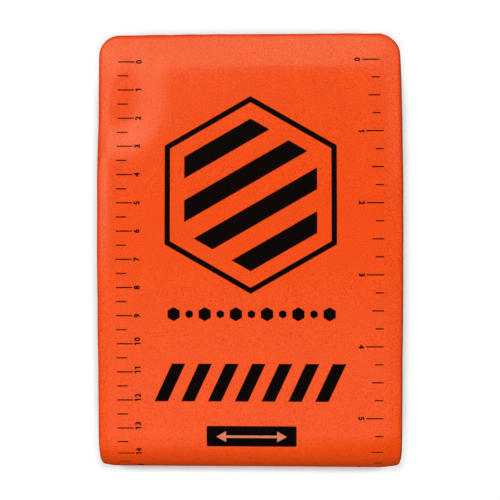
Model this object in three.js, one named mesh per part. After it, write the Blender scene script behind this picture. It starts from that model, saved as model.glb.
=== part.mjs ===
// A malleable splint: a strip of soft aluminium laminated between two sheets of closed-cell foam.
// It is rolled up flat for storage, so each turn of the strip lies round the turn before it.
// Units are millimetres. It lies on its flat side with +Z up, the printed face outwards and the
// strip's outer free end on top, towards +Y.

import * as THREE from 'three';
import { mergeVertices } from 'three/addons/utils/BufferGeometryUtils.js';

// The strip, opened out
const stripLength = 905;
const stripWidth = 108;
const printedFoamThickness = 2.0;
const backFoamThickness = 2.0;
const stripCornerRadius = 6.3;

// The aluminium, which stops short of the foam's edges all round
const coreThickness = 0.4;
const coreSideMargin = 4;
const coreEndMargin = 12.5;
const coreCornerRadius = 6.0;

// How the three sheets lie on each other, as offsets to +X from the strip's centreline
const coreOffset = -0.7;
const backFoamOffset = 0.45;
const bondGap = 0.2;
const seamGap = 0.3;

// The foam's rim, where the two sheets meet beyond the aluminium
const rimSquash = 0.86;
const edgeRounding = 0.9;
const edgeFoamShare = 0.5;

// The flat roll
const panelCount = 6;
const turnGap = 0.3;
const tightestFoldGap = 1.2;
const outerTurnSlack = 1.1;
const innerEndSetBack = 2.0;
const outerEndLap = 0.6;
const outerEndDroop = 1.1;
const outerPanelBow = 1.2;
const sideDrift = 0.5;

// At a fold the soft rim is drawn in sideways and sinks towards the fold's centre
const foldDrawIn = 1.2;
const foldRimSink = 1.8;

// One corner of the outer panel is bent down along a slanting line. The line's two ends are shares
// of the strip's half width, from its centreline, and of the outer panel's length, from its end.
const bentCornerDepth = 1.0;
const bentCornerLine = [
  { acrossShare: -0.6, alongShare: 0.085 },
  { acrossShare: -0.9, alongShare: 0.33 },
];
const bentCornerRamp = 11;
const bentCornerRampInside = 8;

// How finely the strip is divided
const foldSteps = 10;
const panelSteps = 3;
const outerPanelSteps = 14;
const cornerSteps = 4;

// Places across a rim, as shares of the way from the strip's edge to the aluminium's edge
const rimShares = [0, 0.25, 0.65, 1];
const rampStartShare = 0.65;

// Places across the aluminium, as shares of its half width, where the bent corner needs them
const coreShares = [-0.84, -0.66, -0.46];

const colours = {
  printedFoam: 0xf5552a,
  backFoam: 0x343a42,
  aluminium: 0xc4c7ca,
};

const coreWidth = stripWidth - 2 * coreSideMargin;
// Heights are measured along the printed side's outward normal, from the middle of the aluminium.
const coreSeat = coreThickness / 2 + bondGap;
const printedReach = coreSeat + printedFoamThickness;
const backReach = coreSeat + backFoamThickness;
const turnPitch = printedReach + backReach + turnGap;
const foldCount = panelCount - 1;
const tightestFoldRadius = backReach + tightestFoldGap / 2;

const lerp = THREE.MathUtils.lerp;
const ramp = (value, start, end) => THREE.MathUtils.clamp((value - start) / (end - start), 0, 1);

// Fold 0 is the innermost. The folds at each end of the roll share one centre, so every turn keeps
// an even gap to its neighbours.
function foldRadius(fold) {
  const slack = fold === foldCount - 1 ? outerTurnSlack / 2 : 0;
  return tightestFoldRadius + (fold * turnPitch) / 2 + slack;
}

// How much of the rim's draw-in and sink a fold shows: none at the tightest, all at the widest
function foldLooseness(fold) {
  return fold / (foldCount - 1);
}

// The strip's path from its inner end to its outer end, as panels and folds in turn
function rollPath() {
  const foldLengths = Array.from({ length: foldCount }, (_, fold) => Math.PI * foldRadius(fold));
  const foldedLength = foldLengths.reduce((sum, length) => sum + length, 0);
  const outerOverhang = foldRadius(foldCount - 2) + printedReach + outerEndLap;
  const panelLength = (stripLength - foldedLength + innerEndSetBack - outerOverhang) / panelCount;

  const legs = [];
  let start = 0;
  let y = panelLength - innerEndSetBack;
  let z = 0;
  for (let panel = 0; panel < panelCount; panel += 1) {
    const heading = panel % 2 === 0 ? -1 : 1;
    const trimmed = panel === 0 ? -innerEndSetBack : 0;
    const added = panel === panelCount - 1 ? outerOverhang : 0;
    const length = panelLength + trimmed + added;
    legs.push({ kind: 'panel', index: panel, start, length, y, z, heading });
    start += length;
    y += heading * length;
    if (panel < foldCount) {
      const radius = foldRadius(panel);
      const foldLength = Math.PI * radius;
      legs.push({ kind: 'fold', index: panel, start, length: foldLength, y, z, heading, radius });
      start += foldLength;
      z -= heading * 2 * radius;
    }
  }
  return legs;
}

const path = rollPath();

// The upper panels are slightly arched, the outermost one most
function panelBow(leg) {
  return leg.heading > 0 ? (outerPanelBow * (leg.index + 1)) / panelCount : 0;
}

// The point of the strip's centreline at a length from its inner end, and the frame there
function alongRoll(length) {
  const leg = path.findLast((candidate) => length >= candidate.start) ?? path[0];
  const travelled = length - leg.start;
  if (leg.kind === 'panel') {
    const bow = panelBow(leg) * Math.sin((Math.PI * travelled) / leg.length) ** 2;
    const centre = { y: leg.y + leg.heading * travelled, z: leg.z };
    return { ...centre, normalY: 0, normalZ: leg.heading, lift: bow, slack: 0 };
  }
  const turned = travelled / leg.radius;
  const normalY = leg.heading * Math.sin(turned);
  const normalZ = leg.heading * Math.cos(turned);
  const centreZ = leg.z - leg.heading * leg.radius;
  return {
    y: leg.y + leg.radius * normalY,
    z: centreZ + leg.radius * normalZ,
    normalY,
    normalZ,
    lift: 0,
    slack: foldLooseness(leg.index) * Math.sin(turned) ** 2,
  };
}

// The droop of the outer end, which the aluminium doesn't reach
function endDroop(length) {
  const fromOuterEnd = stripLength - length;
  return outerEndDroop * (1 - ramp(fromOuterEnd, 0, coreEndMargin)) ** 2;
}

// How far the bent corner takes the outer panel down
function cornerBend(across, length) {
  const panelLength = path.at(-1).length;
  const [from, to] = bentCornerLine.map(({ acrossShare, alongShare }) => new THREE.Vector2(
    (acrossShare * stripWidth) / 2,
    alongShare * panelLength,
  ));
  const line = to.clone().sub(from).normalize();
  const past = new THREE.Vector2(across, stripLength - length).sub(from);
  const beyond = line.cross(past);
  const share = ramp(beyond, -bentCornerRampInside, bentCornerRamp - bentCornerRampInside);
  return bentCornerDepth * THREE.MathUtils.smoothstep(share, 0, 1);
}

// A point of the rolled strip from its place on the flat one
function rolledPoint({ across, length, height }) {
  const here = alongRoll(length);
  const bend = length > path.at(-1).start ? cornerBend(across, length) : 0;
  const above = height + here.lift - endDroop(length) - bend;
  const drift = sideDrift * (1 - length / stripLength);
  return new THREE.Vector3(
    across + drift,
    here.y + above * here.normalY,
    here.z + above * here.normalZ,
  );
}

// Lengths at which the strip is divided, the same for every sheet so that their folds stay parallel
function pathStations() {
  return path.flatMap((leg) => {
    const stepsOnPanel = leg.index === panelCount - 1 ? outerPanelSteps : panelSteps;
    const steps = leg.kind === 'fold' ? foldSteps : stepsOnPanel;
    return Array.from({ length: steps }, (_, step) => leg.start + (leg.length * step) / steps);
  });
}

// Distances from an end at which a rounded corner is divided
function cornerDistances(radius) {
  return Array.from({ length: cornerSteps + 1 }, (_, step) => {
    const angle = (Math.PI / 2) * (step / cornerSteps);
    return radius * (1 - Math.cos(angle));
  });
}

// Stations of a sheet whose ends lie a margin in from the strip's ends
function sheetStations(margin, endDistances) {
  const first = margin + Math.max(...endDistances);
  const last = stripLength - first;
  const middle = pathStations().filter((length) => length > first + 1 && length < last - 1);
  const inner = endDistances.map((distance) => margin + distance);
  const outer = endDistances.map((distance) => stripLength - margin - distance);
  return [...inner, ...middle, ...outer].sort((a, b) => a - b);
}

// How far a rounded corner takes the side in, at a distance from the end
function cornerInset(distance, radius) {
  const short = Math.max(radius - distance, 0);
  return radius - Math.sqrt(radius ** 2 - short ** 2);
}

// Turns the diagonals of a box's under face to lie below those of its upper face, so that sheets
// that are twisted alike stay parallel
function alignDiagonals(box) {
  const under = box.groups[5];
  const index = box.index.array;
  for (let n = under.start; n < under.start + under.count; n += 6) {
    const [a, b, d, , c] = index.slice(n, n + 6);
    index.set([a, b, c, a, c, d], n);
  }
}

// A closed box of columns, rows and layers, whose corners are each given their place by a function
function shapedBox(columns, rows, layers, place) {
  const box = new THREE.BoxGeometry(columns, rows, layers, columns, rows, layers);
  alignDiagonals(box);
  const corners = box.attributes.position;
  for (let n = 0; n < corners.count; n += 1) {
    const column = Math.round(corners.getX(n) + columns / 2);
    const row = Math.round(corners.getY(n) + rows / 2);
    const layer = Math.round(corners.getZ(n) + layers / 2);
    corners.setXYZ(n, ...place(column, row, layer).toArray());
  }
  box.deleteAttribute('normal');
  box.deleteAttribute('uv');
  const solid = mergeVertices(box);
  solid.computeVertexNormals();
  return solid;
}

// The foam's underside and thickness where it lies these distances in from the side and the end
function foamSection(fromSide, sideMargin, fromEnd, thickness) {
  const overCore = Math.min(
    ramp(fromSide, sideMargin * rampStartShare, sideMargin),
    ramp(fromEnd, coreEndMargin * rampStartShare, coreEndMargin - bondGap),
  );
  const edge = ramp(Math.min(fromSide, fromEnd), 0, edgeRounding);
  const rounded = lerp(edgeFoamShare, 1, Math.sqrt(1 - (1 - edge) ** 2));
  return {
    seat: lerp(seamGap / 2, coreSeat, overCore),
    foam: thickness * lerp(rimSquash, 1, overCore) * rounded,
  };
}

// A place across the aluminium, from a share of its half width
function acrossCore(share) {
  return coreOffset + (share * coreWidth) / 2;
}

// One sheet of foam. side is 1 for the printed face of the strip and -1 for its back.
function foamSheet({ thickness, side, offset }) {
  const endDistances = [
    ...cornerDistances(stripCornerRadius),
    edgeRounding,
    coreEndMargin * rampStartShare,
    coreEndMargin - bondGap,
    ...cornerDistances(coreCornerRadius).map((distance) => coreEndMargin + distance),
  ].sort((a, b) => a - b);
  const stations = sheetStations(0, endDistances);
  const columns = [
    ...rimShares.map((share) => ({ hand: -1, share })),
    ...coreShares.map((onCore) => ({ onCore })),
    ...rimShares.toReversed().map((share) => ({ hand: 1, share })),
  ];
  const layers = 2;

  const place = (column, row, layer) => {
    const length = stations[row];
    const fromEnd = Math.min(length, stripLength - length);
    const { slack } = alongRoll(length);
    const { hand = 1, share = 1, onCore } = columns[column];

    const fullEdge = stripWidth / 2 + hand * offset;
    const cutEdge = fullEdge - cornerInset(fromEnd, stripCornerRadius);
    const edge = cutEdge - foldDrawIn * slack;
    const coreEdge = coreWidth / 2 + bondGap + hand * coreOffset;
    const sideMargin = edge - coreEdge * (cutEdge / fullEdge);
    const reach = edge - share * sideMargin;
    const pastCore = Math.max(reach - coreEdge, 0) / (stripWidth / 2 - coreEdge);
    const section = foamSection(share * sideMargin, sideMargin, fromEnd, thickness);
    const sink = foldRimSink * slack * pastCore ** 2;

    const outwards = side > 0 ? layer / layers : 1 - layer / layers;
    return rolledPoint({
      across: onCore === undefined ? hand * reach : acrossCore(onCore),
      length,
      height: side * (section.seat + section.foam * outwards) - sink,
    });
  };
  return shapedBox(columns.length - 1, stations.length - 1, layers, place);
}

// The aluminium strip, with its corners rounded
function coreSheet() {
  const stations = sheetStations(coreEndMargin, cornerDistances(coreCornerRadius));
  const columns = [-1, ...coreShares, 1];
  const place = (column, row, layer) => {
    const length = stations[row];
    const fromEnd = Math.min(length, stripLength - length) - coreEndMargin;
    const cutShare = 1 - cornerInset(fromEnd, coreCornerRadius) / (coreWidth / 2);
    const share = THREE.MathUtils.clamp(columns[column], -cutShare, cutShare);
    return rolledPoint({
      across: acrossCore(share),
      length,
      height: (layer === 0 ? -1 : 1) * (coreThickness / 2),
    });
  };
  return shapedBox(columns.length - 1, stations.length - 1, 1, place);
}

function piece(name, geometry, look) {
  const mesh = new THREE.Mesh(geometry, new THREE.MeshStandardMaterial(look));
  mesh.name = name;
  return mesh;
}

const splint = new THREE.Group();
splint.add(
  piece(
    'printed_foam',
    foamSheet({ thickness: printedFoamThickness, side: 1, offset: 0 }),
    { color: colours.printedFoam, roughness: 0.75, metalness: 0 },
  ),
  piece(
    'aluminium_core',
    coreSheet(),
    { color: colours.aluminium, roughness: 0.4, metalness: 1 },
  ),
  piece(
    'back_foam',
    foamSheet({ thickness: backFoamThickness, side: -1, offset: backFoamOffset }),
    { color: colours.backFoam, roughness: 0.8, metalness: 0 },
  ),
);

// The origin is under the middle of the roll, on the surface that it lies on
const extent = new THREE.Box3().setFromObject(splint);
const middle = extent.getCenter(new THREE.Vector3());
splint.position.set(-middle.x, -middle.y, -extent.min.z);
splint.updateMatrixWorld(true);

export default splint;
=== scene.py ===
"""Looks of an aluminium foam splint that is rolled up flat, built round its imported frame."""

import math

import bpy
import numpy as np
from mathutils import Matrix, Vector, noise


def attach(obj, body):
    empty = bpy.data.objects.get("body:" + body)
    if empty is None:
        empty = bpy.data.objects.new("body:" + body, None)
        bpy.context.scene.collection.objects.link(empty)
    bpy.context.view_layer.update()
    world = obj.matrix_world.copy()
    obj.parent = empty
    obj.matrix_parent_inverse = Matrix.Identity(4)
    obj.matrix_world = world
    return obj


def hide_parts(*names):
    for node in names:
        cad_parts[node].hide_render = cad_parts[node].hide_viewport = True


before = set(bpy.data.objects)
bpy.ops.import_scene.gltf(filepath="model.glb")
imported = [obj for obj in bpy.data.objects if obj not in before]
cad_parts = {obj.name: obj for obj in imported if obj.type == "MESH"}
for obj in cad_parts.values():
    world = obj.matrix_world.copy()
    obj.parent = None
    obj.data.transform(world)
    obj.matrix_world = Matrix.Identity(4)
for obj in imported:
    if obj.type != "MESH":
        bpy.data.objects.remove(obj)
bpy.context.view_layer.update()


# The view
# The splint lies flat and is seen from above, with the strip's free end at the top of the picture.
# The camera is about a forearm's length up, a little right of the middle, and looks almost
# straight down.

camera_place = (0.0083, 0.0014, 0.353)
camera_tilt = math.radians(1.51)

bpy.ops.object.select_all(action="DESELECT")
bpy.ops.object.camera_add(location=camera_place, rotation=(0, camera_tilt, 0))
camera = bpy.context.object
camera.name = "overhead_camera"
camera.data.sensor_width = 36
camera.data.lens = 65.2
bpy.context.scene.camera = camera


# Printed foam
# The orange facing is one sheet of closed-cell foam, die-cut with round corners and glued over the
# aluminium, whose edge shows through it as a flat plateau with a softer rim all round. It goes
# through all five folds of the roll with its printed side out. Sizes are in millimetres.

strip_length = 905.0
strip_width = 108.0
strip_corner = 7.5
foam_thickness = 2.0
core_width = 100.0
core_shift = -0.7
core_end_margin = 12.5
core_corner = 6.0
core_seat = 0.4
bond_gap = 0.2
glue_line = 0.02
rim_drop = 0.75
rim_slope_widths = (1.0, 12.0)
shoulder = 1.0
edge_rounding = 1.2
edge_share = 0.4

face_unevenness = 0.035
rim_unevenness = 0.05
edge_unevenness = 0.5
side_waviness = 0.12
end_waviness = 0.2
wavy_reach = 4.0
crease_angle = 55

panel_count = 6
turn_gap = 0.3
turn_pitch = 2 * (core_seat + foam_thickness) + turn_gap
tightest_fold_gap = 1.2
tightest_fold = core_seat + foam_thickness + tightest_fold_gap / 2
outer_turn_slack = 0.55
inner_end_set_back = 2.0
outer_end_lap = 0.6
outer_end_droop = 1.4
outer_end_droop_curve = 1.15
outer_end_taper = 0.85
outer_end_taper_reach = 45.0
outer_panel_bow = 1.2
outer_panel_spread = 0.005
side_drift = 0.5
fold_spread = 0.6

bent_corner_place = (-47.2, 24.0)
bent_corner_reach = (12.3, 15.0)
bent_corner_span = 1.5
bent_corner_depth = 1.4
bent_corner_bowl = 0.2
bent_corner_end_rise = 0.35

inner_columns_reach = 44.0
fine_step = 1.2
coarse_step = 9.0

row_frame_shift = (-0.47, -62.45, 12.6)


def fold_radius(fold):
    """The radius of a fold at the strip's middle, counted from the inmost one."""
    slack = outer_turn_slack if fold == panel_count - 2 else 0
    return tightest_fold + fold * turn_pitch / 2 + slack


def roll_legs():
    """The strip's panels and folds in turn: start, size, y, z, heading, radius, bow, looseness."""
    folded = sum(math.pi * fold_radius(fold) for fold in range(panel_count - 1))
    overhang = fold_radius(panel_count - 3) + core_seat + foam_thickness + outer_end_lap
    panel = (strip_length - folded + inner_end_set_back - overhang) / panel_count
    rows = []
    start, y, z = 0.0, panel - inner_end_set_back, 0.0
    for index in range(panel_count):
        heading = -1 if index % 2 == 0 else 1
        size = panel
        if index == 0:
            size -= inner_end_set_back
        if index == panel_count - 1:
            size += overhang
        bow = outer_panel_bow * (index + 1) / panel_count if heading > 0 else 0
        rows.append((start, size, y, z, heading, 0, bow, 0))
        start += size
        y += heading * size
        if index < panel_count - 1:
            radius = fold_radius(index)
            turn = math.pi * radius
            rows.append((start, turn, y, z, heading, radius, 0, index / (panel_count - 2)))
            start += turn
            z -= heading * 2 * radius
    return np.array(rows)


legs = roll_legs()
leg_start, leg_size, leg_y, leg_z, leg_heading, leg_radius, leg_bow, leg_looseness = legs.T
outer_panel_start = leg_start[-1]
outer_face_start = leg_start[-4]


def ripple(across, length, wave, seed):
    """A soft random height between about -1 and 1, for hand-made unevenness."""
    return np.array([
        noise.noise(Vector((a / wave, b / wave, seed)))
        for a, b in zip(across, length)
    ])


def eased(share):
    """A share held between 0 and 1, with a soft start and end."""
    share = np.clip(share, 0, 1)
    return share * share * (3 - 2 * share)


def rising(share, softness=0.02):
    """A share that is nothing before 0 and rises evenly after it, with a rounded start."""
    return (share + np.sqrt(share * share + softness)) / 2


def inset_from(across, length, half_width, end_margin, corner, centre):
    """How far a place lies inside a rounded rectangle on the flat strip."""
    x = np.abs(across - centre) - (half_width - corner)
    y = np.abs(length - strip_length / 2) - (strip_length / 2 - end_margin - corner)
    outside = np.hypot(np.maximum(x, 0), np.maximum(y, 0)) + np.minimum(np.maximum(x, y), 0)
    return corner - outside


def foam_heights(across, length, offset):
    """Heights of a facing's glued side and outer side over the aluminium's middle."""
    from_edge = inset_from(across, length, strip_width / 2, 0, strip_corner, offset)
    over_core = inset_from(
        across, length, core_width / 2 + bond_gap, core_end_margin - bond_gap, core_corner, core_shift
    )
    margin = np.clip(from_edge - over_core, *rim_slope_widths)
    glued_fall = np.minimum(rising(-over_core / margin), 1)
    glued = core_seat + (glue_line - core_seat) * glued_fall
    fall = np.minimum(rising((shoulder - over_core) / (margin + shoulder)), 1)
    full = core_seat + foam_thickness - rim_drop * fall
    edge_waves = ripple(across, length, wave=7, seed=3.7)
    rounding = edge_rounding * (1 + edge_unevenness * edge_waves)
    near_edge = np.clip(from_edge / rounding, 0, 1)
    rounded = edge_share + (1 - edge_share) * np.sqrt(1 - (1 - near_edge) ** 2)
    face_waves = face_unevenness * ripple(across, length, wave=16, seed=1.3)
    rim_waves = rim_unevenness * ripple(across, length, wave=7, seed=8.1) * fall
    uneven = face_waves + rim_waves
    return glued, glued + (full - glued) * rounded + uneven


def rolled(across, length, height):
    """Row-frame places, in metres, of points given by their place on the flat strip."""
    leg = np.clip(np.searchsorted(leg_start, length, side="right") - 1, 0, len(legs) - 1)
    gone = length - leg_start[leg]
    heading, radius = leg_heading[leg], leg_radius[leg]
    on_fold = radius > 0
    turned = np.where(on_fold, gone / np.where(on_fold, radius, 1), 0)
    normal_y, normal_z = heading * np.sin(turned), heading * np.cos(turned)
    y = leg_y[leg] + np.where(on_fold, radius * normal_y, heading * gone)
    z = leg_z[leg] + np.where(on_fold, radius * (normal_z - heading), 0)

    slack = leg_looseness[leg] * np.sin(turned) ** 2
    across = across * (1 + fold_spread * slack / (strip_width / 2))

    bow = leg_bow[leg] * np.sin(np.pi * gone / leg_size[leg]) ** 2
    from_end = strip_length - length
    past_plateau = 1 - from_end / core_end_margin
    droop = outer_end_droop * rising(past_plateau) ** outer_end_droop_curve

    (corner_x, corner_d), (reach_x, reach_d) = bent_corner_place, bent_corner_reach
    away = np.hypot(
        np.maximum(across - corner_x, 0) / reach_x,
        np.maximum(from_end - corner_d, 0) / reach_d,
    )
    bent_down = bent_corner_depth * eased(bent_corner_span - away)
    bend = bent_down - bent_corner_bowl * eased(1 - 2 * away)
    bend = bend * (1 - bent_corner_end_rise * np.clip(past_plateau, 0, 1))
    bend = np.where(length > outer_panel_start, bend, 0)
    spread = np.where(length > outer_panel_start, outer_panel_spread, 0)
    across = across * (1 + spread * np.sin(np.pi * gone / leg_size[leg]) ** 2)
    taper = outer_end_taper * np.clip(1 - from_end / outer_end_taper_reach, 0, 1) ** 2
    across = across - taper * np.maximum(across, 0) / (strip_width / 2)

    above = height + bow - droop - bend
    x = across + side_drift * (1 - length / strip_length)
    placed = np.stack((x, y + above * normal_y, z + above * normal_z), axis=1)
    return (placed + np.array(row_frame_shift)) / 1000


def flat_points(piece):
    """The vertices of a piece that is still flat, in millimetres, a row each."""
    flat = np.empty(len(piece.data.vertices) * 3)
    piece.data.vertices.foreach_get("co", flat)
    return flat.reshape(-1, 3) * 1000


def set_points(piece, places):
    """Puts a piece's vertices at new places, given a row each."""
    piece.data.vertices.foreach_set("co", places.ravel())
    piece.data.update()


def strip_rows():
    """Lengths at which the sheet is divided: finest at the ends, on the outer turn and in folds."""
    near_end = [0, 0.03, 0.12, 0.3, 0.6, 1, 1.6, 2.3, 3.1, 4, 5, 6.3, 7.6, 9, 10.2, 11.2, 11.9, 12.5]
    clear_of_end = near_end[-1] + 0.5
    rows = []
    for start, size, _, _, _, radius, _, _ in legs:
        step = fine_step if radius > 0 or start >= outer_face_start else coarse_step
        parts = math.ceil(size / step)
        rows += [start + size * part / parts for part in range(parts)]
    rows = [row for row in rows if clear_of_end < row < strip_length - clear_of_end]
    return near_end + rows + [strip_length - distance for distance in near_end[::-1]]


def foam_sheet(name, side, offset):
    """One facing, cut flat, given its thickness, laid over the aluminium and rolled up."""
    rim = [0, 0.03, 0.12, 0.3, 0.6, 1, 1.5, 2, 2.5, 2.9, 3.3, 3.7, 4.2, 4.7, 5.4, 6.4, 8]
    half = strip_width / 2
    inner = np.linspace(-inner_columns_reach, inner_columns_reach, 45)
    rim = np.array(rim)
    columns = np.concatenate((rim - half, inner, half - rim[::-1]))
    rows = np.array(strip_rows())

    bpy.ops.object.select_all(action="DESELECT")
    bpy.ops.mesh.primitive_grid_add(
        x_subdivisions=len(columns) - 1, y_subdivisions=len(rows) - 1, size=1
    )
    sheet = bpy.context.object
    sheet.name = name
    grid = flat_points(sheet) / 1000
    across = columns[np.rint((grid[:, 0] + 0.5) * (len(columns) - 1)).astype(int)]
    length = rows[np.rint((grid[:, 1] + 0.5) * (len(rows) - 1)).astype(int)]
    from_end = np.minimum(length, strip_length - length)
    short = np.maximum(strip_corner - from_end, 0)
    cut = strip_corner - np.sqrt(strip_corner**2 - short**2)
    past_inner = np.maximum(np.abs(across) - inner_columns_reach, 0)
    cut = cut * past_inner / (half - inner_columns_reach)
    across = across - np.sign(across) * cut + offset
    set_points(sheet, np.stack((across, length, np.zeros_like(across)), axis=1) / 1000)

    thickness = sheet.modifiers.new("thickness", "SOLIDIFY")
    thickness.thickness = 0.001
    thickness.offset = side
    thickness.material_offset_rim = 1
    bpy.ops.object.modifier_apply(modifier=thickness.name)

    across, length, outwards = flat_points(sheet).T
    glued, outer = foam_heights(across, length, offset)
    height = side * (glued + (outer - glued) * np.abs(outwards))
    from_edge = inset_from(across, length, half, 0, strip_corner, offset)
    near_edge = np.clip(1 - from_edge / wavy_reach, 0, 1)
    hand, end = np.sign(across), np.sign(length - strip_length / 2)
    side_wave = side_waviness * ripple(hand * 40, length, wave=13, seed=5.2) * near_edge
    end_wave = end_waviness * ripple(across, end * 40, wave=8, seed=2.9) * near_edge
    across, length = across + side_wave, length + end_wave
    set_points(sheet, rolled(across, length, height))
    bpy.ops.object.shade_smooth_by_angle(angle=math.radians(crease_angle))
    over_core = inset_from(across, length, core_width / 2, core_end_margin, core_corner, core_shift)
    rim_share = sheet.data.attributes.new("rim", "FLOAT", "POINT")
    rim_share.data.foreach_set("value", eased(0.5 - over_core / 2).astype(np.float32))
    return sheet


def foam_finish(name, skin, shade, cells, depth, roughness, specular=0.5):
    """Closed-cell foam: a fine pebbled skin whose cells vary in colour, most on the soft rim."""
    finish = bpy.data.materials.new(name)
    finish.use_nodes = True
    nodes, links = finish.node_tree.nodes, finish.node_tree.links
    shader = nodes["Principled BSDF"]
    shader.inputs["Specular IOR Level"].default_value = specular
    shader.inputs["Specular Tint"].default_value = (1, 0.95, 0.65, 1)
    place = nodes.new("ShaderNodeTexCoord")

    grain = nodes.new("ShaderNodeTexNoise")
    grain.inputs["Scale"].default_value = cells
    grain.inputs["Detail"].default_value = 3
    grain.inputs["Roughness"].default_value = 0.6
    pebbles = nodes.new("ShaderNodeTexVoronoi")
    pebbles.inputs["Scale"].default_value = cells * 0.8
    blotches = nodes.new("ShaderNodeTexNoise")
    blotches.inputs["Scale"].default_value = 90
    blotches.inputs["Detail"].default_value = 4
    for texture in (grain, pebbles, blotches):
        links.new(place.outputs["Object"], texture.inputs["Vector"])

    rim_share = nodes.new("ShaderNodeAttribute")
    rim_share.attribute_name = "rim"
    contrast = nodes.new("ShaderNodeMapRange")
    contrast.inputs["To Min"].default_value = 1.0
    contrast.inputs["To Max"].default_value = 2.4
    links.new(rim_share.outputs["Fac"], contrast.inputs["Value"])
    grain_about_zero = nodes.new("ShaderNodeMath")
    grain_about_zero.operation = "SUBTRACT"
    grain_about_zero.inputs[1].default_value = 0.5
    links.new(grain.outputs["Fac"], grain_about_zero.inputs[0])
    cell_tone = nodes.new("ShaderNodeMath")
    cell_tone.operation = "MULTIPLY_ADD"
    cell_tone.inputs[2].default_value = 0.5
    links.new(grain_about_zero.outputs["Value"], cell_tone.inputs[0])
    links.new(contrast.outputs["Result"], cell_tone.inputs[1])
    speckle = nodes.new("ShaderNodeValToRGB")
    speckle.color_ramp.elements[0].position = 0.37
    speckle.color_ramp.elements[0].color = (*shade, 1)
    speckle.color_ramp.elements[1].position = 0.63
    speckle.color_ramp.elements[1].color = (*skin, 1)
    links.new(cell_tone.outputs["Value"], speckle.inputs["Fac"])
    drift = nodes.new("ShaderNodeMapRange")
    drift.inputs["From Min"].default_value = 0.3
    drift.inputs["From Max"].default_value = 0.7
    drift.inputs["To Min"].default_value = 0.975
    drift.inputs["To Max"].default_value = 1.025
    links.new(blotches.outputs["Fac"], drift.inputs["Value"])
    tinted = nodes.new("ShaderNodeVectorMath")
    tinted.operation = "SCALE"
    links.new(speckle.outputs["Color"], tinted.inputs[0])
    links.new(drift.outputs["Result"], tinted.inputs["Scale"])
    links.new(tinted.outputs["Vector"], shader.inputs["Base Color"])

    gloss = nodes.new("ShaderNodeMapRange")
    gloss.inputs["To Min"].default_value = roughness - 0.09
    gloss.inputs["To Max"].default_value = roughness + 0.09
    links.new(grain.outputs["Fac"], gloss.inputs["Value"])
    links.new(gloss.outputs["Result"], shader.inputs["Roughness"])

    skin_height = nodes.new("ShaderNodeMath")
    skin_height.operation = "MULTIPLY_ADD"
    skin_height.inputs[1].default_value = 0.6
    links.new(pebbles.outputs["Distance"], skin_height.inputs[0])
    links.new(grain.outputs["Fac"], skin_height.inputs[2])
    relief = nodes.new("ShaderNodeMath")
    relief.operation = "MULTIPLY"
    links.new(skin_height.outputs["Value"], relief.inputs[0])
    links.new(contrast.outputs["Result"], relief.inputs[1])
    bump = nodes.new("ShaderNodeBump")
    bump.inputs["Strength"].default_value = 1.0
    bump.inputs["Distance"].default_value = depth
    links.new(relief.outputs["Value"], bump.inputs["Height"])
    links.new(bump.outputs["Normal"], shader.inputs["Normal"])
    return finish


orange_skin = foam_finish(
    "orange_foam_skin", skin=(0.65, 0.066, 0.0045), shade=(0.56, 0.0275, 0.0003),
    cells=2300, depth=0.000015, roughness=0.3, specular=0.75,
)
orange_cut = foam_finish(
    "orange_foam_cut_edge", skin=(0.74, 0.1, 0.03), shade=(0.56, 0.045, 0.009),
    cells=1300, depth=0.00014, roughness=0.75,
)
printed_foam = foam_sheet("printed_foam_sheet", side=1, offset=0)
printed_foam.data.materials.append(orange_skin)
printed_foam.data.materials.append(orange_cut)
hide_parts("printed_foam")
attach(printed_foam, "root")


# Aluminium core
# The strip of soft sheet aluminium between the facings is as rolled at the mill, with fine lines
# along its length. The frame's own solid is right as it is, and only gets its finish.

mill_finish = bpy.data.materials.new("mill_aluminium")
mill_finish.use_nodes = True
mill_nodes, mill_links = mill_finish.node_tree.nodes, mill_finish.node_tree.links
mill_shader = mill_nodes["Principled BSDF"]
mill_shader.inputs["Metallic"].default_value = 1.0
mill_place = mill_nodes.new("ShaderNodeTexCoord")
mill_stretch = mill_nodes.new("ShaderNodeMapping")
mill_stretch.inputs["Scale"].default_value = (1, 0.03, 0.03)
mill_lines = mill_nodes.new("ShaderNodeTexNoise")
mill_lines.inputs["Scale"].default_value = 4000
mill_lines.inputs["Detail"].default_value = 4
mill_links.new(mill_place.outputs["Object"], mill_stretch.inputs["Vector"])
mill_links.new(mill_stretch.outputs["Vector"], mill_lines.inputs["Vector"])
mill_colour = mill_nodes.new("ShaderNodeValToRGB")
mill_colour.color_ramp.elements[0].color = (0.55, 0.56, 0.57, 1)
mill_colour.color_ramp.elements[1].color = (0.8, 0.81, 0.82, 1)
mill_links.new(mill_lines.outputs["Fac"], mill_colour.inputs["Fac"])
mill_links.new(mill_colour.outputs["Color"], mill_shader.inputs["Base Color"])
mill_gloss = mill_nodes.new("ShaderNodeMapRange")
mill_gloss.inputs["To Min"].default_value = 0.26
mill_gloss.inputs["To Max"].default_value = 0.48
mill_links.new(mill_lines.outputs["Fac"], mill_gloss.inputs["Value"])
mill_links.new(mill_gloss.outputs["Result"], mill_shader.inputs["Roughness"])
mill_bump = mill_nodes.new("ShaderNodeBump")
mill_bump.inputs["Strength"].default_value = 0.4
mill_bump.inputs["Distance"].default_value = 0.00001
mill_links.new(mill_lines.outputs["Fac"], mill_bump.inputs["Height"])
mill_links.new(mill_bump.outputs["Normal"], mill_shader.inputs["Normal"])
aluminium_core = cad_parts["aluminium_core"]
aluminium_core.data.materials.clear()
aluminium_core.data.materials.append(mill_finish)


# Back foam
# The other facing is the same cut of closed-cell foam in a dark slate colour, glued to the back of
# the aluminium and to the orange foam's rim. It lies a little to the right, as a dark edge line.

back_foam_shift = 0.32

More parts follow.
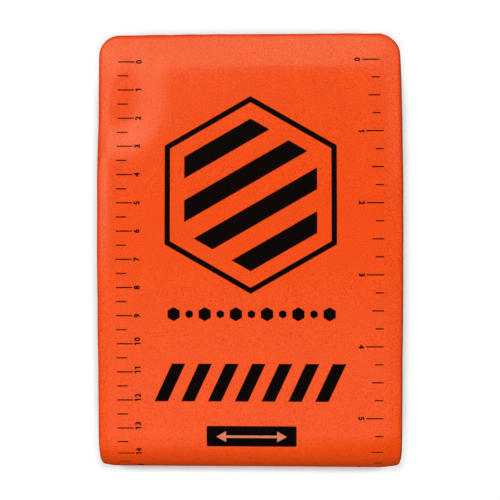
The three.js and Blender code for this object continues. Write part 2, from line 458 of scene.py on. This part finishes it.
slate_skin = foam_finish(
    "slate_foam_skin", skin=(0.04, 0.043, 0.05), shade=(0.024, 0.026, 0.031),
    cells=1900, depth=0.00003, roughness=0.45,
)
slate_cut = foam_finish(
    "slate_foam_cut_edge", skin=(0.055, 0.059, 0.067), shade=(0.02, 0.022, 0.026),
    cells=1300, depth=0.00014, roughness=0.8,
)
back_foam = foam_sheet("back_foam_sheet", side=-1, offset=back_foam_shift)
back_foam.data.materials.append(slate_skin)
back_foam.data.materials.append(slate_cut)
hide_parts("back_foam")
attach(back_foam, "root")


# Centimetre scale
# A ruler in black ink runs along the strip's left edge, with a line every half centimetre and
# upright numbers that read up the strip. The ink is a thin even film that follows the foam's grain.

ink_film = 0.03
ink_root = 0.02
shared_corner_distance = 0.004
cm_zero = 10.5
cm_line_start = -46.8
cm_line_wander = -0.3
cm_line_wander_reach = 140.0
cm_line_lengths = (5.8, 3.7)
cm_number_foot = -38.5
cm_print_stretch = 0.5
cm_stretched = 45.0

scale_line_width = 0.42
scale_number_height = 2.0
scale_number_height_share = 0.73
scale_number_boldness = 0.115
scale_number_spacing = 1.06
two_digit_start = -0.5
figure_one_width = 0.5
figure_one_shift = 0.2
flag_radius = 0.4
scale_end = 353.0
face_height = core_seat + foam_thickness

black_ink = foam_finish(
    "black_ink", skin=(0.0026, 0.001, 0.0009), shade=(0.0014, 0.0005, 0.0005),
    cells=1900, depth=0.00002, roughness=0.5, specular=0.06,
)


def scale_line(across, length, size):
    """One line of a scale, a flat strip of ink that starts at a place and runs to the right."""
    bpy.ops.object.select_all(action="DESELECT")
    bpy.ops.mesh.primitive_grid_add(x_subdivisions=5, y_subdivisions=1, size=1)
    line = bpy.context.object
    line.scale = (size / 1000, scale_line_width / 1000, 1)
    line.location = ((across + size / 2) / 1000, length / 1000, 0)
    bpy.ops.object.transform_apply(location=True, rotation=True, scale=True)
    return line


def flag_ones(text, digits):
    """Gives each figure one of a flat number its flag, a small triangle of ink beside its head."""
    side = flag_radius * math.sqrt(3)
    corners = flat_points(text)
    for place, digit in enumerate(digits):
        if digit != "1":
            continue
        left = corners[:, 0].min() if place == 0 else corners[:, 0].max() - figure_one_width
        on_left_side = np.isclose(corners[:, 0], left, atol=0.01)
        head = corners[on_left_side, 1].max()
        bpy.ops.object.mode_set(mode="EDIT")
        bpy.ops.mesh.select_all(action="SELECT")
        bpy.ops.mesh.bisect(plane_co=(0, (head - side) / 1000, 0), plane_no=(0, 1, 0))
        bpy.ops.mesh.primitive_circle_add(
            vertices=3,
            radius=flag_radius / 1000,
            fill_type="NGON",
            location=((left - flag_radius / 2) / 1000, (head - side / 2) / 1000, 0),
            rotation=(0, 0, math.pi / 2),
        )
        bpy.ops.object.mode_set(mode="OBJECT")


def scale_number(number, foot, length, turn):
    """One number of a scale, turned a quarter round, with its foot at a place across the strip."""
    bpy.ops.object.select_all(action="DESELECT")
    bpy.ops.object.text_add(location=(0, 0, 0))
    text = bpy.context.object
    text.data.body = str(number)
    text.data.size = scale_number_height / scale_number_height_share / 1000
    text.data.offset = scale_number_boldness / 1000
    text.data.space_character = scale_number_spacing
    text.data.resolution_u = 3
    text.data.align_x = "CENTER" if number < 10 else "LEFT"
    bpy.ops.object.convert(target="MESH")
    text = bpy.context.object
    flag_ones(text, str(number))
    start = 0
    if number == 1:
        start = figure_one_shift
    if number >= 10:
        start = two_digit_start
    text.location = (foot / 1000, (length + start * turn) / 1000, 0)
    text.rotation_euler = (0, 0, turn * math.pi / 2)
    bpy.ops.object.transform_apply(location=True, rotation=True, scale=True)
    return text


def joined(name, parts):
    """Several flat pieces of ink made one, with their shared corners merged."""
    bpy.ops.object.select_all(action="DESELECT")
    for part in parts:
        part.select_set(True)
    bpy.context.view_layer.objects.active = parts[0]
    bpy.ops.object.join()
    whole = bpy.context.object
    whole.name = name
    bpy.ops.object.mode_set(mode="EDIT")
    bpy.ops.mesh.select_all(action="SELECT")
    bpy.ops.mesh.remove_doubles(threshold=shared_corner_distance / 1000)
    bpy.ops.object.mode_set(mode="OBJECT")
    return whole


def from_end_at_middle(from_end_on_face):
    """A distance from the outer end, measured on the printed face, as the strip's middle has it."""
    on_fold = leg_radius > 0
    stretch = 1 + np.where(on_fold, face_height / np.where(on_fold, leg_radius, 1), 0)
    at_middle = np.concatenate(([0], np.cumsum(leg_size[::-1])))
    on_face = np.concatenate(([0], np.cumsum((leg_size * stretch)[::-1])))
    return np.interp(from_end_on_face, on_face, at_middle)


def printed_on(print_piece, finish, film_height=ink_film):
    """Gives flat ink its film thickness and lays it on the rolled foam's outer side."""
    bpy.context.view_layer.objects.active = print_piece
    film = print_piece.modifiers.new("film", "SOLIDIFY")
    film.thickness = 0.001
    film.offset = 1
    bpy.ops.object.modifier_apply(modifier=film.name)
    across, length, outwards = flat_points(print_piece).T
    length = strip_length - from_end_at_middle(strip_length - length)
    _, outer = foam_heights(across, length, 0)
    height = outer - ink_root + (ink_root + film_height) * outwards
    set_points(print_piece, rolled(across, length, height))
    print_piece.data.materials.clear()
    print_piece.data.materials.append(finish)
    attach(print_piece, "root")


cm_marks = []
for half_cm in range(int((scale_end - cm_zero) / 5) + 1):
    from_zero = 5 * half_cm
    stretched = cm_print_stretch * max(1 - from_zero / cm_stretched, 0)
    mark_at = strip_length - cm_zero - from_zero + stretched
    wander = cm_line_wander * math.sin(math.pi * min(from_zero / cm_line_wander_reach, 1))
    cm_marks.append(scale_line(cm_line_start + wander, mark_at, cm_line_lengths[half_cm % 2]))
    if half_cm % 2 == 0:
        cm_marks.append(scale_number(half_cm // 2, cm_number_foot + wander, mark_at, 1))
centimetre_scale = joined("centimetre_scale", cm_marks)
printed_on(centimetre_scale, black_ink)


# Inch scale
# The ruler along the right edge is in inches, with a line every quarter inch. Its lines end level
# on the right, apart from the first inch, which the printing screen sets a little further in.

inch = 25.4
inch_zero = 9.75
inch_line_end = 47.3
inch_line_lengths = (6.1, 2.9, 4.1, 2.9)
inch_number_foot = 38.6
first_inch_in = 0.9

inch_marks = []
for quarter in range(int((scale_end - inch_zero) / inch * 4) + 1):
    mark_at = strip_length - inch_zero - quarter * inch / 4
    set_in = first_inch_in if quarter < 4 else 0
    size = inch_line_lengths[quarter % 4]
    inch_marks.append(scale_line(inch_line_end - set_in - size, mark_at, size))
    if quarter % 4 == 0:
        inch_marks.append(scale_number(quarter // 4, inch_number_foot - set_in, mark_at, -1))
inch_scale = joined("inch_scale", inch_marks)
printed_on(inch_scale, black_ink)


# Panel print
# The outer panel carries a plain pattern in the same black ink: a striped hexagon in a hexagon
# frame, a row of small hexagons, a band of slanted bars, and a short bar with a double arrow.

badge_middle = (0.5, 57.7)
badge_frame_radius = 35.0
badge_frame_width = 1.9
badge_field_radius = 27.0
badge_stripe = badge_field_radius * math.sqrt(3) / 7
badge_slant = math.radians(120)
dot_row_middle = (0.8, 99.9)
dot_count = 11
dot_pitch = 5.5
dot_radii = (2.5, 1.5)
band_middle = (0.3, 124.2)
band_size = (86, 13.4)
band_stripe = 4.3
band_slant = math.radians(-25)
length_bar_middle = (0.8, 143.4)
length_bar_size = (31.9, 7.6)
length_bar_rounding = 0.6
arrow_shaft_size = (19, 0.9)
arrow_tip_reach = 10.2
arrow_tip_radius = 2.3
arrow_film = 0.05
print_cell = 2.0
small_print_cell = 1.2


def flat_polygon(corners, radius, middle, turn=0.0):
    """A filled regular polygon of ink, with its middle at a distance from the strip's outer end."""
    bpy.ops.object.select_all(action="DESELECT")
    bpy.ops.mesh.primitive_circle_add(vertices=corners, radius=radius / 1000, fill_type="NGON")
    polygon = bpy.context.object
    polygon.rotation_euler = (0, 0, turn)
    polygon.location = (middle[0] / 1000, (strip_length - middle[1]) / 1000, 0)
    bpy.ops.object.transform_apply(location=True, rotation=True, scale=True)
    return polygon


def flat_rectangle(width, height, middle):
    """A filled rectangle of ink, placed in the same way."""
    bpy.ops.object.select_all(action="DESELECT")
    bpy.ops.mesh.primitive_plane_add(size=1)
    rectangle = bpy.context.object
    rectangle.scale = (width / 1000, height / 1000, 1)
    rectangle.location = (middle[0] / 1000, (strip_length - middle[1]) / 1000, 0)
    bpy.ops.object.transform_apply(location=True, rotation=True, scale=True)
    return rectangle


def cut_along(piece, through, across_cut):
    """Cuts a flat piece through by a plane, given a point on it in metres and its direction."""
    bpy.context.view_layer.objects.active = piece
    bpy.ops.object.mode_set(mode="EDIT")
    bpy.ops.mesh.select_all(action="SELECT")
    bpy.ops.mesh.bisect(plane_co=(*through, 0), plane_no=(*across_cut, 0))
    bpy.ops.object.mode_set(mode="OBJECT")


def striped(piece, middle, pitch, slant, furthest, kept):
    """Cuts a flat piece into slanted stripes and keeps every other one, as far out as is asked."""
    normal = (math.cos(slant), math.sin(slant))
    centre = np.array((middle[0] / 1000, (strip_length - middle[1]) / 1000))
    for step in range(-furthest - 1, furthest + 1):
        through = centre + np.array(normal) * (step + 0.5) * pitch / 1000
        cut_along(piece, tuple(through), normal)
    bpy.ops.object.mode_set(mode="EDIT")
    bpy.ops.mesh.select_mode(type="FACE")
    bpy.ops.mesh.select_all(action="DESELECT")
    bpy.ops.object.mode_set(mode="OBJECT")
    for face in piece.data.polygons:
        away = (np.array(face.center[:2]) - centre) @ np.array(normal) * 1000
        stripe = math.floor(away / pitch + 0.5)
        face.select = stripe % 2 != kept or abs(stripe) > furthest
    bpy.ops.object.mode_set(mode="EDIT")
    bpy.ops.mesh.delete(type="FACE")
    bpy.ops.object.mode_set(mode="OBJECT")


def in_cells(piece, cell):
    """Divides flat ink into small cells, so that it can follow the foam's relief."""
    points = flat_points(piece) / 1000
    low, high = points.min(axis=0), points.max(axis=0)
    bpy.context.view_layer.objects.active = piece
    bpy.ops.object.mode_set(mode="EDIT")
    for axis in (0, 1):
        parts = math.ceil((high[axis] - low[axis]) / (cell / 1000))
        for part in range(1, parts):
            through = [0.0, 0.0, 0.0]
            through[axis] = low[axis] + (high[axis] - low[axis]) * part / parts
            direction = (1, 0, 0) if axis == 0 else (0, 1, 0)
            bpy.ops.mesh.select_all(action="SELECT")
            bpy.ops.mesh.bisect(plane_co=through, plane_no=direction)
    bpy.ops.object.mode_set(mode="OBJECT")


def hexagon_ring(radius, width, middle):
    """An even hexagon frame of ink."""
    ring = flat_polygon(6, radius, middle)
    bpy.ops.object.mode_set(mode="EDIT")
    bpy.ops.mesh.select_mode(type="FACE")
    bpy.ops.mesh.select_all(action="SELECT")
    bpy.ops.mesh.inset(thickness=width / 1000)
    bpy.ops.mesh.delete(type="FACE")
    bpy.ops.object.mode_set(mode="OBJECT")
    return ring


badge_field = flat_polygon(6, badge_field_radius, badge_middle)
striped(badge_field, badge_middle, badge_stripe, badge_slant, furthest=3, kept=1)
badge = joined(
    "hexagon_print", [hexagon_ring(badge_frame_radius, badge_frame_width, badge_middle), badge_field]
)
in_cells(badge, print_cell)
printed_on(badge, black_ink)

dots = []
for dot in range(dot_count):
    dot_across = dot_row_middle[0] + (dot - dot_count // 2) * dot_pitch
    dots.append(flat_polygon(6, dot_radii[dot % 2], (dot_across, dot_row_middle[1])))
dot_row = joined("dot_row_print", dots)
in_cells(dot_row, print_cell)
printed_on(dot_row, black_ink)

slanted_band = flat_rectangle(*band_size, band_middle)
slanted_band.name = "slanted_bar_print"
striped(slanted_band, band_middle, band_stripe, band_slant, furthest=6, kept=0)
in_cells(slanted_band, print_cell)
printed_on(slanted_band, black_ink)

length_bar = flat_rectangle(*length_bar_size, length_bar_middle)
length_bar.name = "length_bar_print"
bpy.ops.object.mode_set(mode="EDIT")
bpy.ops.mesh.select_all(action="SELECT")
bpy.ops.mesh.bevel(offset=length_bar_rounding / 1000, segments=4, affect="VERTICES")
bpy.ops.object.mode_set(mode="OBJECT")
in_cells(length_bar, small_print_cell)
printed_on(length_bar, black_ink)

pale_ink = foam_finish(
    "pale_ink", skin=(0.5, 0.15, 0.085), shade=(0.42, 0.11, 0.06),
    cells=1900, depth=0.00002, roughness=0.5, specular=0.2,
)
arrow_parts = [flat_rectangle(*arrow_shaft_size, length_bar_middle)]
for hand in (-1, 1):
    tip = (length_bar_middle[0] + hand * arrow_tip_reach, length_bar_middle[1])
    arrow_parts.append(flat_polygon(3, arrow_tip_radius, tip, -hand * math.pi / 2))
length_arrow = joined("length_arrow_print", arrow_parts)
in_cells(length_arrow, small_print_cell)
printed_on(length_arrow, pale_ink, arrow_film)


# Studio
# The splint lies on a plain white table. Four soft lights from overhead give it a short shadow on
# every side. The other lights are kept off the table: low softboxes that shine on the slopes of the
# foam's rim, a wide one in front, and two fills for the round front fold and the free end.

bpy.ops.object.select_all(action="DESELECT")
bpy.ops.mesh.primitive_plane_add(size=6, location=(0, 0, -0.0001))
table = bpy.context.object
table.name = "white_table"
table.visible_diffuse = False
table.visible_glossy = False
table_white = bpy.data.materials.new("white_table_top")
table_white.use_nodes = True
table_shader = table_white.node_tree.nodes["Principled BSDF"]
table_shader.inputs["Base Color"].default_value = (0.98, 0.98, 0.98, 1)
table_shader.inputs["Roughness"].default_value = 0.9
table_shader.inputs["Specular IOR Level"].default_value = 0.0
table_shader.inputs["Emission Color"].default_value = (1, 1, 1, 1)
table_shader.inputs["Emission Strength"].default_value = 0.16
table.data.materials.append(table_white)

all_but_table = bpy.data.collections.new("all_but_table")
all_but_table.objects.link(table)
all_but_table.collection_objects[0].light_linking.link_state = "EXCLUDE"


def leaning(across_lean, up_lean):
    """The direction towards a light that is off the vertical by two angles in degrees."""
    lean = (math.tan(math.radians(across_lean)), math.tan(math.radians(up_lean)), 1)
    return Vector(lean).normalized()


def overhead_light(name, across_lean, up_lean, brightness):
    """A soft even light from far overhead, for the splint and the whole table."""
    towards = leaning(across_lean, up_lean)
    bpy.ops.object.light_add(type="SUN", location=towards)
    light = bpy.context.object
    light.name = name
    light.data.angle = math.radians(7)
    light.data.energy = brightness * math.pi / towards.z
    light.rotation_mode = "QUATERNION"
    light.rotation_quaternion = towards.to_track_quat("Z", "Y")
    light.visible_glossy = False


def softbox(name, across_lean, up_lean, width, height, brightness):
    """A softbox for the splint alone, off the vertical by two angles in degrees."""
    distance = 0.85
    top_of_roll = Vector((0, 0, 0.03))
    towards = leaning(across_lean, up_lean)
    bpy.ops.object.light_add(type="AREA", location=top_of_roll + towards * distance)
    box = bpy.context.object
    box.name = name
    box.data.shape = "RECTANGLE"
    box.data.size = width
    box.data.size_y = height
    box.data.energy = brightness * math.pi**2 * distance**2 / towards.z
    box.rotation_mode = "QUATERNION"
    box.rotation_quaternion = towards.to_track_quat("Z", "Y")
    box.light_linking.receiver_collection = all_but_table
    return box


overhead_light("overhead_light_top_left", -10.6, 17.7, 0.26)
overhead_light("overhead_light_top_right", 12.5, 17.7, 0.26)
overhead_light("overhead_light_front_left", -10.6, -15.3, 0.155)
overhead_light("overhead_light_front_right", 12.5, -15.3, 0.155)
softbox("rim_softbox_top", 4, 38, 0.3, 0.22, 0.05)
softbox("rim_softbox_top_left", -22, 30, 0.26, 0.26, 0.072)
softbox("rim_softbox_left", -33, 10, 0.24, 0.24, 0.055)
softbox("rim_softbox_right", 29, 22, 0.24, 0.24, 0.033)
softbox("front_softbox", 0, -20, 1.0, 0.36, 0.1)
front_fill = softbox("front_fill", -20, -47, 0.6, 0.6, 0.32)
back_fill = softbox("back_fill", 15, 47, 0.6, 0.6, 0.12)
front_fill.visible_glossy = back_fill.visible_glossy = False

room = bpy.data.worlds.new("studio_room")
bpy.context.scene.world = room
room.use_nodes = True
room.cycles_visibility.glossy = False
room_nodes, room_links = room.node_tree.nodes, room.node_tree.links
room_direction = room_nodes.new("ShaderNodeTexCoord")
room_height = room_nodes.new("ShaderNodeSeparateXYZ")
room_light = room_nodes.new("ShaderNodeValToRGB")
room_light.color_ramp.elements[0].position = 0.0
room_light.color_ramp.elements[0].color = (0.6, 0.6, 0.6, 1)
room_light.color_ramp.elements[1].position = 0.85
room_light.color_ramp.elements[1].color = (0.02, 0.02, 0.02, 1)
room_links.new(room_direction.outputs["Generated"], room_height.inputs["Vector"])
room_links.new(room_height.outputs["Z"], room_light.inputs["Fac"])
room_links.new(room_light.outputs["Color"], room_nodes["Background"].inputs["Color"])
room_nodes["Background"].inputs["Strength"].default_value = 0.4
bpy.context.scene.view_settings.view_transform = "Standard"
